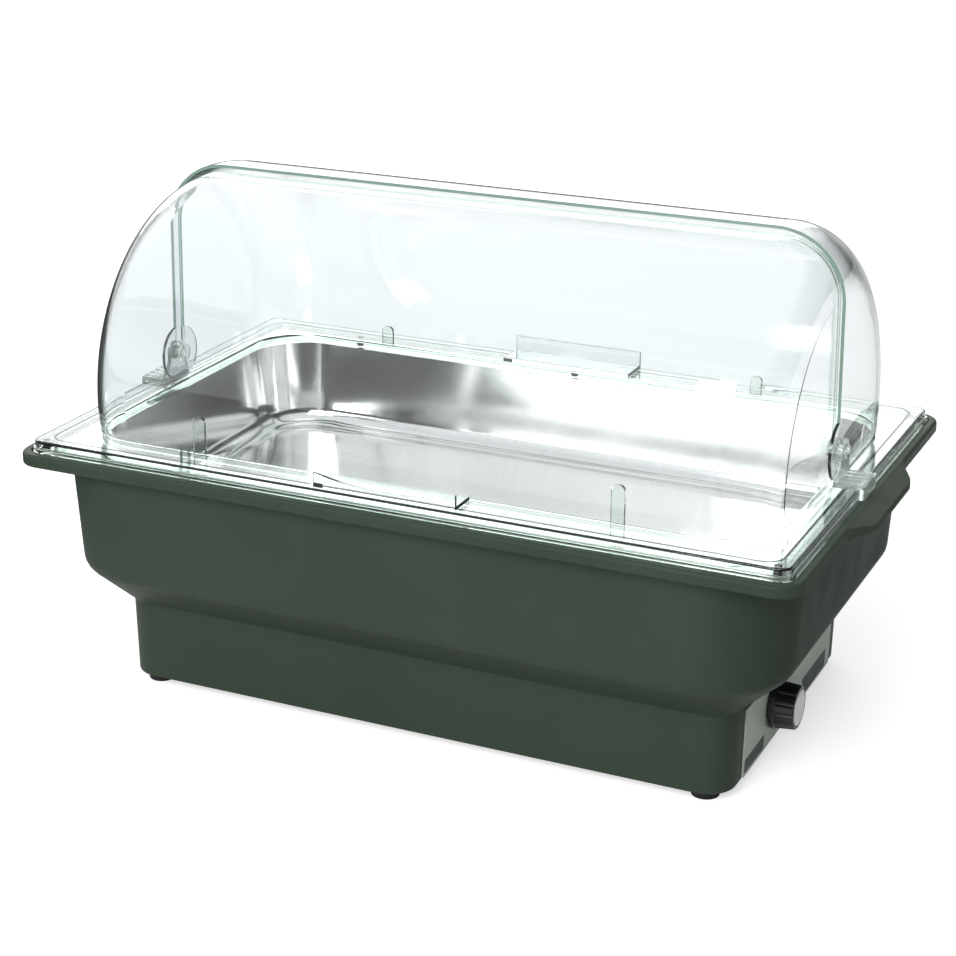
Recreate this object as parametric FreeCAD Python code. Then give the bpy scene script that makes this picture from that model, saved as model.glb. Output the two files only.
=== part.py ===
import FreeCAD
import Part
import math
import os

# Electric chafing dish for one full-size food pan, with a clear roll-top lid in two halves.
# Millimetres, +Z up. The origin is under the middle of the body, on the surface it stands on.
# +X is the end with the thermostat knob, -Y is the front.

V = FreeCAD.Vector
AXIS_X = V(1, 0, 0)
AXIS_Y = V(0, 1, 0)
AXIS_Z = V(0, 0, 1)

# Food pan, full-size gastronorm
food_flange_x = 265.0
food_flange_y = 162.5
food_flange_corner = 14.0
food_rim_width_x = 13.0
food_rim_width_y = 15.0
food_corner = 52.0
food_depth = 65.0
food_sheet = 0.9
food_wall_draft = 9.0
food_floor_bend = 14.0
food_edge_drop = 2.6

# Moulded body
rim_beside_frame_x = 7.0
rim_beside_frame_y = 8.5
rim_overhang_x = 13.5
rim_overhang_y = 9.5
rim_corner = 18.0
rim_lip_height = 4.4
rim_thickness = 4.0
rim_round = 2.6
rim_low_round = 1.2
upper_corner = 60.0
upper_draft = 5.0
step_round = 13.0
step_rise = 30.5
base_inset = 38.5
base_top_z = 63.5
base_foot_z = 6.0
base_round = 1.8
base_draft = 1.0
body_wall = 3.6
frame_gap = 1.5

# Hand grips at the ends of the rim
lug_reach = 12.5
lug_half_width = 71.0
lug_shoulder = 28.0
lug_round = 40.0
lug_drop = 4.5

# Water bath
bath_flange_margin = 3.5
bath_flange_corner = 10.0
bath_sheet = 0.8
bath_wall_gap = 2.5
bath_above_step = 8.0
water_depth = 14.0
bath_draft = 7.0
bath_floor_bend = 12.0

# Lid frame
frame_past_flange_x = 8.0
frame_past_flange_y = 7.5
frame_corner = 10.0
frame_rise = 7.5
frame_sink = 0.8
frame_sheet = 2.4
frame_step = 1.6
frame_step_height = 3.2
frame_margin_x = 26.0
frame_opening_corner = 40.0
frame_lip_depth = 4.5
frame_rib = 2.0
frame_rib_inset = 9.5
frame_rib_corner = 13.0

# Covers of the roll-top
pivot_y = -6.0
pivot_rise = 20.5
cover_sheet = 2.2
cover_inset_x = 18.5
cover_inset_y = 23.5
nest_gap_x = 4.2
nest_gap_round = 6.5
front_corner = 40.0
rear_corner = 48.0
cover_end_draft = 2.6
cover_seat_gap = 0.5
front_edge_past_top = 2.0
rear_edge_past_top = 3.0
seam_lip = 1.0
seam_lip_width = 3.0
seam_lip_start = 10.0

# Grips of the covers
grip_half_width = 51.0
grip_inset_y = 3.5
grip_sheet = 2.6
front_grip_end_height = 10.0
front_grip_middle_height = 3.6
rear_grip_height = 13.0

# Hinges
pin_radius = 3.0
pin_head_radius = 5.0
pin_head = 2.2
pin_clearance = 0.08
bracket_gap = 0.6
bracket_sheet = 3.0
bracket_half_width = 15.0
bracket_top_radius = 8.5
bracket_hook = 6.2
bracket_rib = 0.9
bracket_ribs = 4
bracket_rib_pitch = 7.0
retainer_radius = 7.0
retainer_sheet = 2.0
hinge_play = 0.5
seat_bite = 0.02

# Upright tabs and cushions of the lid frame
tab_x = 151.5
tab_width = 9.0
tab_sheet = 2.4
front_tab_height = 26.0
rear_tab_height = 14.0
tab_wall_gap = 0.5
tab_ledge = 0.37
cushion_radius = 2.6
cushion_clearance = 0.3
cushion_rear_x = (-180.0, 4.0)
cushion_rear_inset = 20.5
cushion_front_inset_x = 10.7
cushion_front_inset_y = 8.7

# Heater under the water bath
element_radius = 3.6
element_pitch = 46.0
element_turn_room = 31.0
element_gap = 0.3
element_tail = 22.0
clamp_x = 105.0
clamp_half_width = 9.0
clamp_sheet = 1.5
clamp_overhang = 2.0
stud_radius = 2.5
stud_play = 0.3
stud_end = 1.5
nut_across = 8.0
nut_height = 3.4
shield_beside_wall = 32.0
shield_sheet = 0.8
shield_drop = 16.0
shield_fold = 5.0
shield_corner = 10.0
post_radius = 3.0
post_shoulder = 1.8
post_end = 2.0
post_inset = 14.0
post_beside_element = 17.0

# Control end
plate_half_y = 99.0
plate_low_z = 7.5
plate_below_step = 5.5
plate_sheet = 1.2
plate_corner = 1.5
knob_y = -40.0
knob_z = 36.5
knob_gap = 1.5
knob_skirt_radius = 17.2
knob_skirt = 3.5
knob_grip_radius = 16.2
knob_face_radius = 15.1
knob_grip = 13.3
knob_flutes = 14
knob_flute_radius = 2.4
knob_flute_depth = 0.8
knob_cap_radius = 12.3
knob_cap = 0.9
knob_chamfer = 0.8
knob_bar = 0.7
knob_bar_width = 1.6
knob_end_wall = 4.0
shaft_radius = 3.0
shaft_flat = 1.0
shaft_flat_start = 5.0
shaft_inside = 13.0
shaft_grip = 0.02
bushing_radius = 5.0
bushing_nut_across = 14.0
bushing_nut_height = 2.2
bushing_reach = 3.2
bushing_collar = 3.0
bushing_play = 0.1
nut_bite = 0.05
nut_room = 0.9
thermostat_x = 26.0
thermostat_y = 44.0
thermostat_z = 32.0
thermostat_gap = 2.5
bulb_radius = 3.0
bulb_length = 75.0
bulb_tail = 3.9
capillary_radius = 0.9
capillary_bend = 8.0
cutout_radius = 8.0
cutout_height = 9.0
cutout_blade = 5.0
cutout_blade_sheet = 0.8
cutout_blade_width = 6.0
cutout_blade_pitch = 8.0
cutout_beside = 20.0
terminal_x = 40.0
terminal_y = 18.0
terminal_z = 14.0
terminal_place_x = 140.0
terminal_place_y = 60.0
terminal_floor = 5.0
terminal_hole_radius = 2.2
terminal_pitch = 12.5
gland_x = 165.0
gland_z = 34.0
gland_thread_radius = 8.0
gland_dome_radius = 10.5
gland_dome_length = 15.0
gland_bore_radius = 4.0
gland_hex = 22.0
gland_hex_length = 5.0
gland_nut_height = 4.0
gland_thread_inside = 8.0
gland_thread_play = 0.1

# Underside
plate_bottom_sheet = 1.2
plate_bottom_gap = 0.6
vent_slot_length = 36.0
vent_slot_width = 4.0
vent_rows = 5
vent_pitch = 11.0
vent_field_x = 95.0
screw_radius = 2.0
screw_head_radius = 4.0
screw_head = 1.6
screw_length = 9.0
screw_boss_radius = 5.5
screw_boss_cap = 4.0
screw_end_room = 1.5
boss_rib = 2.4
screw_hole_play = 0.2
foot_inset_x = 20.0
foot_inset_y = 16.0
foot_radius = 10.5
foot_recess_radius = 5.5
foot_taper = 1.0
foot_bore_radius = 2.2
seat_play = 0.1

# Plan sizes that follow from the pan, each half of the whole
food_opening_x = food_flange_x - food_rim_width_x
food_opening_y = food_flange_y - food_rim_width_y
bath_flange_x = food_flange_x + bath_flange_margin
bath_flange_y = food_flange_y + bath_flange_margin
frame_x = food_flange_x + frame_past_flange_x
frame_y = food_flange_y + frame_past_flange_y
rim_x = frame_x + rim_beside_frame_x
rim_y = frame_y + rim_beside_frame_y
upper_x = rim_x - rim_overhang_x
upper_y = rim_y - rim_overhang_y
base_x = upper_x - base_inset
base_y = upper_y - base_inset
frame_opening_x = frame_x - frame_margin_x
foot_x = base_x - foot_inset_x
foot_y = base_y - foot_inset_y
grip_outer_y = frame_y - grip_inset_y
cushion_rear_y = frame_y - cushion_rear_inset
cushion_front_x = frame_x - cushion_front_inset_x
cushion_front_y = frame_y - cushion_front_inset_y
shield_half_x = base_x - shield_beside_wall
post_x = shield_half_x - post_inset
post_y = 1.5 * element_pitch + post_beside_element
shield_half_y = post_y + post_inset
element_half_length = shield_half_x - element_turn_room

# Heights that follow, from the step of the body up
upper_foot_z = base_top_z + step_rise
bath_floor_z = upper_foot_z + bath_above_step
food_floor_z = bath_floor_z + water_depth
food_flange_top = food_floor_z + food_depth
bath_flange_top = food_flange_top - food_edge_drop
seat_z = bath_flange_top - bath_sheet
rim_top = seat_z + rim_lip_height
frame_bottom = rim_top - frame_sink
frame_step_z = frame_bottom + frame_step_height
frame_top = rim_top + frame_rise
pivot_z = frame_top + pivot_rise
plate_high_z = base_top_z - plate_below_step
ceiling_z = bath_floor_z - bath_sheet
element_z = ceiling_z - element_gap - element_radius
shield_z = ceiling_z - shield_drop

# Covers, which follow the frame and nest in each other
rear_half_length = frame_x - cover_inset_x
front_half_length = rear_half_length - nest_gap_x
rear_radius = frame_y - cover_inset_y
front_radius = rear_radius - nest_gap_round
bracket_x = rear_half_length + bracket_gap
front_foot_y = math.sqrt((front_radius - cover_sheet) ** 2 - pivot_rise ** 2) - pivot_y
frame_opening_y = front_foot_y - tab_wall_gap - tab_sheet - tab_ledge


def arc_points(before, corner, after, radius):
    """Tangent points and middle point of the arc that rounds one corner of an outline."""
    a = (before - corner)
    b = (after - corner)
    a.normalize()
    b.normalize()
    half = a.getAngle(b) / 2.0
    reach = radius / math.tan(half)
    middle = a + b
    middle.normalize()
    centre = corner + middle * (radius / math.sin(half))
    return corner + a * reach, centre - middle * radius, corner + b * reach


def outline(points, place):
    """Closed face through corner points (u, v, rounding); place turns (u, v) into a vector."""
    corners = [place(p[0], p[1]) for p in points]
    ends = []
    edges = []
    count = len(points)
    for i in range(count):
        rounding = points[i][2] if len(points[i]) > 2 else 0.0
        if rounding > 0:
            start, middle, end = arc_points(corners[i - 1], corners[i], corners[(i + 1) % count], rounding)
            edges.append(Part.Arc(start, middle, end).toShape())
            ends.append((start, end))
        else:
            edges.append(None)
            ends.append((corners[i], corners[i]))
    ordered = []
    for i in range(count):
        if edges[i]:
            ordered.append(edges[i])
        start = ends[i][1]
        end = ends[(i + 1) % count][0]
        if start.distanceToPoint(end) > 1e-6:
            ordered.append(Part.makeLine(start, end))
    return Part.Face(Part.Wire(ordered))


def lathe(points, half_x, half_y, corner):
    """Solid whose outline of (offset from the plan edge, height, rounding) goes round a rectangle.

    half_x, half_y and corner give the plan where the offset is 0; the outline's first and last
    points are closed to the middle, so the result is solid all through."""
    cx = half_x - corner
    cy = half_y - corner
    low = points[0][1]
    high = points[-1][1]
    section = [(0.0, low)] + [(corner + p[0],) + tuple(p[1:]) for p in points] + [(0.0, high)]
    right = outline(section, lambda u, v: V(cx + u, cy, v))
    back = outline(section, lambda u, v: V(cx, cy + u, v))
    left = outline(section, lambda u, v: V(-cx - u, -cy, v))
    front = outline(section, lambda u, v: V(-cx, -cy - u, v))
    solids = []
    for face, x, y in ((right, cx, cy), (left, -cx, -cy)):
        solids.append(face.revolve(V(x, y, 0), AXIS_Z, 90))
    for face, x, y in ((back, cx, cy), (front, -cx, -cy)):
        moved = face.copy()
        moved.translate(V(-2 * x, 0, 0))
        solids.append(moved.revolve(V(-x, y, 0), AXIS_Z, 90))
    solids.append(right.extrude(V(0, -2 * cy, 0)))
    solids.append(left.extrude(V(0, 2 * cy, 0)))
    solids.append(back.extrude(V(-2 * cx, 0, 0)))
    solids.append(front.extrude(V(2 * cx, 0, 0)))
    core = Part.makeBox(2 * cx, 2 * cy, high - low, V(-cx, -cy, low))
    return core.fuse(solids).removeSplitter()


def slab(half_x, half_y, corner, low, high):
    """Flat rounded rectangle between two heights."""
    return lathe([(0.0, low), (0.0, high)], half_x, half_y, corner)


def box(x0, x1, y0, y1, z0, z1):
    return Part.makeBox(x1 - x0, y1 - y0, z1 - z0, V(x0, y0, z0))


def rod(radius, start, end):
    way = end - start
    return Part.makeCylinder(radius, way.Length, start, way)


def hexagon(across, height, centre, axis):
    """Six-sided nut or head that stands on centre and grows along axis."""
    radius = across / math.sqrt(3.0)
    corners = [V(radius * math.cos(math.radians(60 * i)), radius * math.sin(math.radians(60 * i)), 0)
               for i in range(6)]
    body = Part.Face(Part.makePolygon(corners + [corners[0]])).extrude(V(0, 0, height))
    turn = FreeCAD.Rotation(AXIS_Z, axis)
    body.Placement = FreeCAD.Placement(centre, turn)
    return body


def mirrored_x(shape):
    return shape.mirror(V(0, 0, 0), AXIS_X)


def mirrored_y(shape):
    return shape.mirror(V(0, 0, 0), AXIS_Y)


def four_ways(x, y):
    return [(sx * x, sy * y) for sx in (1, -1) for sy in (1, -1)]


# Body

def body_outside():
    """Upper tub, rounded step and narrower base, as one outline round the plan."""
    foot = upper_x - base_x
    points = [(-foot - base_draft, base_foot_z, base_round),
              (-foot, base_top_z, base_round),
              (-upper_draft, upper_foot_z, step_round),
              (0.0, seat_z)]
    return lathe(points, upper_x, upper_y, upper_corner)


def body_cavity():
    """Inside of the tub and of the base, one wall in from the outside, open below and above."""
    foot = upper_x - base_x
    slope = math.hypot(foot - upper_draft, upper_foot_z - base_top_z)
    shift = body_wall * slope / (foot - upper_draft)
    points = [(-foot - base_draft - body_wall, base_foot_z - 1.0),
              (-foot - body_wall, base_top_z + shift, 1.0),
              (-upper_draft - body_wall, upper_foot_z + shift, step_round - body_wall),
              (-body_wall, rim_top + 1.0)]
    return lathe(points, upper_x, upper_y, upper_corner)


def lug():
    """Hand grip at the +X end: the rim swells out in an S-curve, with a sloping top."""
    low = seat_z - rim_thickness
    root = rim_x - rim_corner
    step = rim_x - rim_round
    outer = rim_x + lug_reach
    inner = lug_half_width - lug_shoulder
    far = lug_half_width + lug_shoulder
    plan = [(root, -far), (step, -far), (step, -lug_half_width, lug_round),
            (outer, -inner, lug_round), (outer, inner, lug_round),
            (step, lug_half_width, lug_round), (step, far), (root, far)]
    body = outline(plan, lambda u, v: V(u, v, low)).extrude(V(0, 0, rim_top - low))
    side = [(root, low), (outer, low, rim_low_round), (outer, rim_top - lug_drop, rim_round),
            (step, rim_top, rim_round), (root, rim_top)]
    profile = outline(side, lambda u, v: V(u, -far, v))
    return body.common(profile.extrude(V(0, 2 * far, 0)))


def rim():
    points = [(0.0, seat_z - rim_thickness, rim_low_round), (0.0, rim_top, rim_round),
              (1.0 - rim_corner, rim_top)]
    return lathe(points, rim_x, rim_y, rim_corner)


def screw_bosses():
    """Bosses inside the base that take the screws of the feet and of the bottom plate."""
    low = base_foot_z + plate_bottom_sheet + plate_bottom_gap
    solids = []
    for x, y in four_ways(foot_x, foot_y):
        solids.append(Part.makeCylinder(screw_boss_radius, screw_length + screw_boss_cap, V(x, y, low)))
        reach_x = math.copysign(base_x - body_wall + 0.5, x)
        reach_y = math.copysign(base_y - body_wall + 0.5, y)
        half = boss_rib / 2.0
        high = low + screw_length
        solids.append(box(min(x, reach_x), max(x, reach_x), y - half, y + half, low, high))
        solids.append(box(x - half, x + half, min(y, reach_y), max(y, reach_y), low, high))
    return solids


def body_shell():
    shell = body_outside().fuse([rim(), lug(), mirrored_x(lug())])
    shell = shell.cut(body_cavity())
    recess = slab(frame_x + frame_gap, frame_y + frame_gap, frame_corner + frame_gap, seat_z, rim_top + 1.0)
    shell = shell.cut(recess)
    shell = shell.fuse(screw_bosses())
    holes = [rod(screw_radius, V(x, y, base_foot_z), V(x, y, base_foot_z + screw_length + screw_end_room))
             for x, y in four_ways(foot_x, foot_y)]
    holes.append(rod(bushing_radius, V(base_x - 12.0, knob_y, knob_z), V(base_x + 3.0, knob_y, knob_z)))
    holes.append(rod(gland_thread_radius, V(gland_x, base_y - 12.0, gland_z),
                     V(gland_x, base_y + 3.0, gland_z)))
    return shell.cut(holes).removeSplitter()


# Underside

def vent_slots():
    slots = []
    straight = vent_slot_length - vent_slot_width
    for sign in (-1, 1):
        for row in range(vent_rows):
            y = (row - (vent_rows - 1) / 2.0) * vent_pitch
            x = sign * vent_field_x
            slot = box(x - straight / 2, x + straight / 2, y - vent_slot_width / 2, y + vent_slot_width / 2,
                       base_foot_z - 1.0, base_foot_z + 6.0)
            ends = [Part.makeCylinder(vent_slot_width / 2, 7.0, V(x + s * straight / 2, y, base_foot_z - 1.0))
                    for s in (-1, 1)]
            slots.append(slot.fuse(ends))
    return slots


def bottom_plate():
    """Sheet that closes the base, set up inside the skirt of the moulding."""
    inset = base_draft + body_wall + plate_bottom_gap
    half_x = base_x - inset
    half_y = base_y - inset
    corner = upper_corner - (upper_x - base_x) - inset
    low = base_foot_z + plate_bottom_gap
    sheet = slab(half_x, half_y, corner, low, low + plate_bottom_sheet)
    holes = vent_slots()
    holes += [Part.makeCylinder(screw_radius + screw_hole_play, plate_bottom_sheet + 2.0, V(x, y, low - 1.0))
              for x, y in four_ways(foot_x, foot_y)]
    return sheet.cut(holes)


def foot(x, y):
    """Rubber foot with a recess below for its screw."""
    high = base_foot_z + plate_bottom_gap
    body = Part.makeCone(foot_radius - foot_taper, foot_radius, high, V(x, y, 0))
    recess = Part.makeCylinder(foot_recess_radius, high / 2.0, V(x, y, 0))
    bore = Part.makeCylinder(foot_bore_radius, high, V(x, y, 0))
    return body.cut([recess, bore])


def foot_screw(x, y):
    start = (base_foot_z + plate_bottom_gap) / 2.0
    head = Part.makeCylinder(screw_head_radius, screw_head, V(x, y, start - screw_head))
    shank = Part.makeCylinder(screw_radius - 0.05, screw_length, V(x, y, start))
    return head.fuse(shank).removeSplitter()


# Pans

def bath_outline(inset):
    """Outline of the water bath, inset by the sheet for its inside."""
    high = seat_z if inset == 0 else seat_z + 1.0
    low = bath_floor_z - bath_sheet + inset
    return [(-bath_draft - inset, low, bath_floor_bend - inset), (-inset, high)]


def water_bath():
    half_x = upper_x - body_wall - bath_wall_gap
    half_y = upper_y - body_wall - bath_wall_gap
    corner = upper_corner - body_wall - bath_wall_gap
    flange = slab(bath_flange_x, bath_flange_y, bath_flange_corner, seat_z, bath_flange_top)
    outside = lathe(bath_outline(0.0), half_x, half_y, corner)
    inside = lathe(bath_outline(bath_sheet), half_x, half_y, corner)
    return flange.fuse(outside).cut(inside).removeSplitter()


def food_pan():
    """Pressed pan: flat flange with a turned-down edge, drafted walls and wide floor bends."""
    flange = slab(food_flange_x, food_flange_y, food_flange_corner, bath_flange_top, food_flange_top)
    under = slab(food_flange_x - food_sheet, food_flange_y - food_sheet, food_flange_corner - food_sheet,
                 bath_flange_top - 1.0, food_flange_top - food_sheet)
    flange = flange.cut(under)
    walls = [(-food_wall_draft, food_floor_z, food_floor_bend), (0.0, food_flange_top)]
    hollow = [(-food_wall_draft - food_sheet, food_floor_z + food_sheet, food_floor_bend - food_sheet),
              (-food_sheet, food_flange_top + 1.0)]
    outside = lathe(walls, food_opening_x, food_opening_y, food_corner)
    inside = lathe(hollow, food_opening_x, food_opening_y, food_corner)
    return flange.fuse(outside).cut(inside).removeSplitter()


# Heater

def heating_element():
    """Sheathed element: four runs side by side, joined by half turns, with two cold tails."""
    x = element_half_length
    rows = [(-1.5 + i) * element_pitch for i in range(4)]
    edges = [Part.makeLine(V(x + element_tail, rows[0], element_z), V(-x, rows[0], element_z))]
    side = -1
    for i in range(3):
        a = V(side * x, rows[i], element_z)
        b = V(side * x, rows[i + 1], element_z)
        middle = V(side * (x + element_pitch / 2.0), (rows[i] + rows[i + 1]) / 2.0, element_z)
        edges.append(Part.Arc(a, middle, b).toShape())
        far = x + element_tail if i == 2 else x
        end = V(-side * far, rows[i + 1], element_z)
        edges.append(Part.makeLine(b, end))
        side = -side
    path = Part.Wire(edges)
    start = V(x + element_tail, rows[0], element_z)
    section = Part.Wire([Part.makeCircle(element_radius, start, AXIS_X)])
    return path.makePipeShell([section], True, False)


def heater_clamp(x):
    """Strap across the four runs, flat between them and held by two studs."""
    reach = 2.0 * element_pitch + clamp_overhang
    high = element_z - element_radius
    return box(x - clamp_half_width, x + clamp_half_width, -reach, reach, high - clamp_sheet, high)


def heater_clamps():
    solids = []
    for x in (-clamp_x, clamp_x):
        holes = [rod(stud_radius + stud_play, V(x, y, shield_z), V(x, y, ceiling_z))
                 for y in (-element_pitch, element_pitch)]
        solids.append(heater_clamp(x).cut(holes))
    return solids


def heater_studs():
    """Studs welded under the water bath, each with its nut under the strap."""
    solids = []
    strap_low = element_z - element_radius - clamp_sheet
    for x in (-clamp_x, clamp_x):
        for y in (-element_pitch, element_pitch):
            stud = rod(stud_radius, V(x, y, strap_low - nut_height - stud_end), V(x, y, ceiling_z))
            nut = hexagon(nut_across, nut_height, V(x, y, strap_low - nut_height), AXIS_Z)
            solids.append(stud.fuse(nut))
    return solids


def heat_shield():
    """Folded tray under the element that throws its heat up to the bath."""
    low = shield_z - shield_sheet
    tray = slab(shield_half_x, shield_half_y, shield_corner, low, shield_z + shield_fold)
    inside = slab(shield_half_x - shield_sheet, shield_half_y - shield_sheet, shield_corner - shield_sheet,
                  shield_z, shield_z + shield_fold + 1.0)
    tray = tray.cut(inside)
    holes = [rod(post_radius + 0.2, V(x, y, shield_z - 2.0), V(x, y, shield_z + 2.0))
             for x, y in four_ways(post_x, post_y)]
    return tray.cut(holes)


def shield_posts():
    """Shouldered posts between the bath and the shield."""
    solids = []
    for x, y in four_ways(post_x, post_y):
        wide = rod(post_radius + post_shoulder, V(x, y, shield_z), V(x, y, ceiling_z))
        thin = rod(post_radius, V(x, y, shield_z - shield_sheet - post_end), V(x, y, shield_z))
        solids.append(wide.fuse(thin).removeSplitter())
    return solids


# Controls

def control_plate():
    """Thin plate on the end of the base, round the knob's bushing."""
    corners = [(-plate_half_y, plate_low_z, plate_corner), (plate_half_y, plate_low_z, plate_corner),
               (plate_half_y, plate_high_z, plate_corner), (-plate_half_y, plate_high_z, plate_corner)]
    lean = math.degrees(math.atan(base_lean()))
    plate = outline(corners, lambda u, v: V(base_x, u, v)).extrude(V(plate_sheet, 0, 0))
    plate.rotate(V(base_x, 0, base_top_z), AXIS_Y, lean)
    hole = rod(bushing_radius, V(base_x - 5.0, knob_y, knob_z), V(base_x + 5.0, knob_y, knob_z))
    return plate.cut(hole)


def plate_face_x():
    """Place of the plate's outer face at the height of the knob."""
    return base_x - base_lean() * (base_top_z - knob_z) + plate_sheet


def wall_inside_x():
    """Place of the end wall's inner face at the height of the knob."""
    return plate_face_x() - plate_sheet - body_wall


def thermostat():
    """Housing behind the end wall with its threaded bushing through wall and plate."""
    wall = wall_inside_x()
    face = wall - thermostat_gap
    housing = box(face - thermostat_x, face, knob_y - thermostat_y / 2, knob_y + thermostat_y / 2,
                  knob_z - thermostat_z / 2, knob_z + thermostat_z / 2)
    collar = rod(bushing_radius + bushing_collar, V(face - 0.5, knob_y, knob_z),
                 V(wall - 0.3, knob_y, knob_z))
    end = plate_face_x() + bushing_reach
    bushing = rod(bushing_radius - bushing_play, V(face - 0.5, knob_y, knob_z), V(end, knob_y, knob_z))
    bore = rod(shaft_radius + pin_clearance, V(wall - shaft_inside - 1.0, knob_y, knob_z),
               V(end + 1.0, knob_y, knob_z))
    return housing.fuse([collar, bushing]).cut(bore).removeSplitter()


def bushing_nut():
    start = plate_face_x() + base_lean() * bushing_nut_across / math.sqrt(3.0)
    nut = hexagon(bushing_nut_across, bushing_nut_height, V(start, knob_y, knob_z), AXIS_X)
    hole = rod(bushing_radius - nut_bite, V(start - 1.0, knob_y, knob_z),
               V(start + bushing_nut_height + 1.0, knob_y, knob_z))
    return nut.cut(hole)


def knob_face_x():
    """Place of the knob's outer face."""
    return plate_face_x() + knob_gap + knob_skirt + knob_grip


def knob_shaft():
    """Turned shaft with a flat where the knob grips it."""
    end = knob_face_x() - knob_end_wall
    shaft = rod(shaft_radius, V(wall_inside_x() - shaft_inside, knob_y, knob_z), V(end, knob_y, knob_z))
    flat = box(plate_face_x() + shaft_flat_start, end + 1.0, knob_y - shaft_radius, knob_y + shaft_radius,
               knob_z + shaft_radius - shaft_flat, knob_z + shaft_radius + 1.0)
    return shaft.cut(flat)


def knob():
    """Skirted knob: turned body, shallow flutes round its tapered grip, hollow for the bushing's nut."""
    x0 = plate_face_x() + knob_gap
    x1 = x0 + knob_skirt
    x2 = knob_face_x()
    c = knob_chamfer
    section = [(x0, 0.0), (x0, knob_skirt_radius), (x1 - c, knob_skirt_radius), (x1, knob_grip_radius),
               (x2 - c, knob_face_radius), (x2, knob_face_radius - c), (x2, 0.0)]
    body = outline(section, lambda u, v: V(u, 0, v)).revolve(V(0, 0, 0), AXIS_X, 360)
    flutes = []
    for i in range(knob_flutes):
        angle = 2.0 * math.pi * i / knob_flutes
        out = V(0, math.cos(angle), math.sin(angle))
        back = out * (knob_grip_radius + knob_flute_radius - knob_flute_depth)
        face = out * (knob_face_radius + knob_flute_radius - knob_flute_depth)
        flutes.append(rod(knob_flute_radius, back + V(x1 + c, 0, 0), face + V(x2 + 1.0, 0, 0)))
    body = body.cut(flutes)
    socket = rod(knob_cap_radius, V(x2 - knob_cap, 0, 0), V(x2 + 1.0, 0, 0))
    hollow = rod(bushing_nut_across / 2 + 2.0 * nut_room, V(x0 - 1.0, 0, 0),
                 V(plate_face_x() + bushing_reach + nut_room, 0, 0))
    bore = rod(shaft_radius + shaft_grip, V(x0 - 1.0, 0, 0), V(x2 - knob_end_wall + 0.1, 0, 0))
    key = box(plate_face_x() + shaft_flat_start, x2, -shaft_radius, shaft_radius,
              shaft_radius - shaft_flat + shaft_grip, shaft_radius + 1.0)
    body = body.cut([socket, hollow, bore.cut(key)])
    body.translate(V(0, knob_y, knob_z))
    return body


def knob_cap_disc():
    """Bright inlay in the knob's face with a raised pointer bar."""
    start = knob_face_x() - knob_cap
    end = knob_face_x() + 0.2
    half = knob_bar_width / 2.0
    disc = rod(knob_cap_radius - 0.1, V(start, knob_y, knob_z), V(end, knob_y, knob_z))
    bar = box(start, end + knob_bar, knob_y - half, knob_y + half, knob_z + knob_cap_radius * 0.2,
              knob_z + knob_cap_radius * 0.85)
    return disc.fuse(bar).removeSplitter()


def sensing_bulb():
    """Bulb between two runs of the element and its capillary down to the thermostat."""
    bulb_y = -element_pitch
    bulb_z = ceiling_z - bulb_radius - element_gap
    drop_x = wall_inside_x() - thermostat_gap - thermostat_x / 2
    bulb_end = drop_x - capillary_bend - bulb_tail
    bulb = rod(bulb_radius, V(bulb_end - bulb_length, bulb_y, bulb_z), V(bulb_end, bulb_y, bulb_z))
    start = V(bulb_end - 1.0, bulb_y, bulb_z)
    first = V(drop_x - capillary_bend, bulb_y, bulb_z)
    second = V(drop_x, bulb_y, bulb_z - capillary_bend)
    end = V(drop_x, bulb_y, knob_z + thermostat_z / 2)
    centre = V(first.x, bulb_y, second.z)
    middle = centre + V(1, 0, 1) * (capillary_bend / math.sqrt(2.0))
    path = Part.Wire([Part.makeLine(start, first), Part.Arc(first, middle, second).toShape(),
                      Part.makeLine(second, end)])
    section = Part.Wire([Part.makeCircle(capillary_radius, start, AXIS_X)])
    return bulb.fuse(path.makePipeShell([section], True, False)).removeSplitter()


def thermal_cutout():
    """Disc cut-out pressed to the underside of the bath."""
    top = ceiling_z - element_gap
    low = top - cutout_height
    y = 1.5 * element_pitch + cutout_beside
    disc = rod(cutout_radius, V(0, y, low), V(0, y, top))
    thick = cutout_blade_sheet / 2.0
    wide = cutout_blade_width / 2.0
    blades = []
    for x in (-cutout_blade_pitch / 2.0, cutout_blade_pitch / 2.0):
        blades.append(box(x - thick, x + thick, y - wide, y + wide, low - cutout_blade, low))
    return disc.fuse(blades).removeSplitter()


def terminal_block():
    """Moulded terminal strip on the bottom plate with its screw holes."""
    low = base_foot_z + plate_bottom_gap + plate_bottom_sheet
    x = terminal_place_x
    y = terminal_place_y
    block = box(x - terminal_x / 2, x + terminal_x / 2, y - terminal_y / 2, y + terminal_y / 2,
                low, low + terminal_z)
    holes = []
    for i in (-1, 0, 1):
        for side in (-1, 1):
            start = V(x + i * terminal_pitch, y + side * terminal_y / 4, low + terminal_floor)
            holes.append(Part.makeCylinder(terminal_hole_radius, terminal_z, start))
    return block.cut(holes)


def base_lean():
    """Sideways travel of the base's walls for each millimetre of height."""
    return base_draft / (base_top_z - base_foot_z)


def gland_outer_y():
    return base_y - base_lean() * (base_top_z - gland_z)


def gland_lean():
    """Room that the leaning wall needs under the gland's flat hexagon."""
    return base_lean() * gland_hex / math.sqrt(3.0)


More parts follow.
